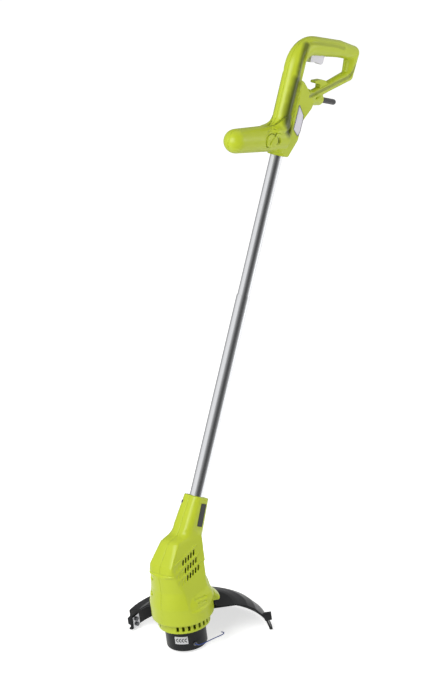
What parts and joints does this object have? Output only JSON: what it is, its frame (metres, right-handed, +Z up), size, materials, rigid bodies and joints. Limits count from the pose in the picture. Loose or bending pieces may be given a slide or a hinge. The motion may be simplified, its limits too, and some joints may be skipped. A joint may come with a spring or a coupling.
{
  "type": "string trimmer",
  "caption": "Corded string trimmer: upright motor head with half guard and line spool, straight two-part tube, closed rear handle with trigger and a front grip.",
  "frame": {"origin": "on the motor's axis, at the tap button's lowest face", "axes": "+Z up along the motor's axis; +X towards the operator, the way the shaft leans; +Y the machine's right"},
  "size_m": [0.6199, 0.2088, 0.8466],
  "materials": {
    "green_plastic": "satin moulded, lime green",
    "black_plastic": "satin moulded, near black",
    "black_rubber": "matt",
    "grey_plastic": "satin moulded, pale grey",
    "dark_button": "satin moulded",
    "blue_nylon": "smooth extruded line",
    "plated_tube": "bright plated tube",
    "steel": "bright steel",
    "cast_alloy": "cast",
    "copper": null,
    "magnet_and_carbon": "sintered, matt"
  },
  "bodies": {
    "frame": {"handle_shell_left": "green_plastic", "handle_shell_right": "green_plastic", "handle_screws": "steel", "grip_caps": "green_plastic", "side_panels": "grey_plastic", "cord_hook": "green_plastic", "cord_boot": "black_rubber", "cord_clamp": "black_plastic", "terminal_block": "black_plastic", "trigger_pin": "steel", "trigger_spring": "steel", "switch_body": "black_plastic", "upper_tube": "plated_tube", "lower_tube": "plated_tube", "motor_lead": "black_rubber", "lead_grommet": "black_rubber", "motor_housing_left": "green_plastic", "motor_housing_right": "green_plastic", "housing_screws": "steel", "badge_plates": "black_plastic", "vent_ring": "green_plastic", "motor_can": "steel", "motor_magnets": "magnet_and_carbon", "upper_bearing": "steel", "lower_bearing": "steel", "bearing_plate": "cast_alloy", "brush_holder": "black_plastic", "brushes": "magnet_and_carbon", "guard": "black_plastic", "guard_screws": "steel", "line_cutter": "steel", "cutter_screws": "steel"},
    "rotor": {"motor_shaft": "steel", "armature_core": "steel", "armature_winding": "copper", "commutator": "copper", "cooling_fan": "black_plastic", "spool_hub": "cast_alloy", "hub_nut": "steel", "spool_cup": "black_plastic", "spool_cover": "black_plastic", "line_eyelet": "steel", "arrow_plate": "grey_plastic", "spool_spring": "steel", "cutting_line": "blue_nylon"},
    "feed": {"spool": "dark_button", "line_winding": "blue_nylon", "tap_button": "dark_button"},
    "trigger": {"trigger": "grey_plastic"},
    "plunger": {"switch_plunger": "grey_plastic"}
  },
  "joints": [
    {"name": "head_spin", "type": "hinge", "parent": "frame", "child": "rotor", "pos_m": [0, 0, 0], "axis": [0, 0, 1], "continuous": true},
    {"name": "tap_feed", "type": "slide", "parent": "rotor", "child": "feed", "axis": [0, 0, 1], "range_m": [0, 0.004], "stiffness_N_per_m": 900, "springref_m": -0.004, "deforming": ["spool_spring"]},
    {"name": "trigger_pull", "type": "hinge", "parent": "frame", "child": "trigger", "pos_m": [0.46814, 0, 0.82538], "axis": [0, -1, 0], "range_deg": [0, 8], "stiffness_Nm_per_rad": 0.9, "springref_deg": -6.88, "deforming": ["trigger_spring"]},
    {"name": "plunger_press", "type": "slide", "parent": "frame", "child": "plunger", "axis": [0.5299, 0, 0.848], "range_m": [0, 0.005]}
  ],
  "couplings": [
    {"joint": "plunger_press", "follows": "trigger_pull", "m_per_rad": 0.0265}
  ]
}
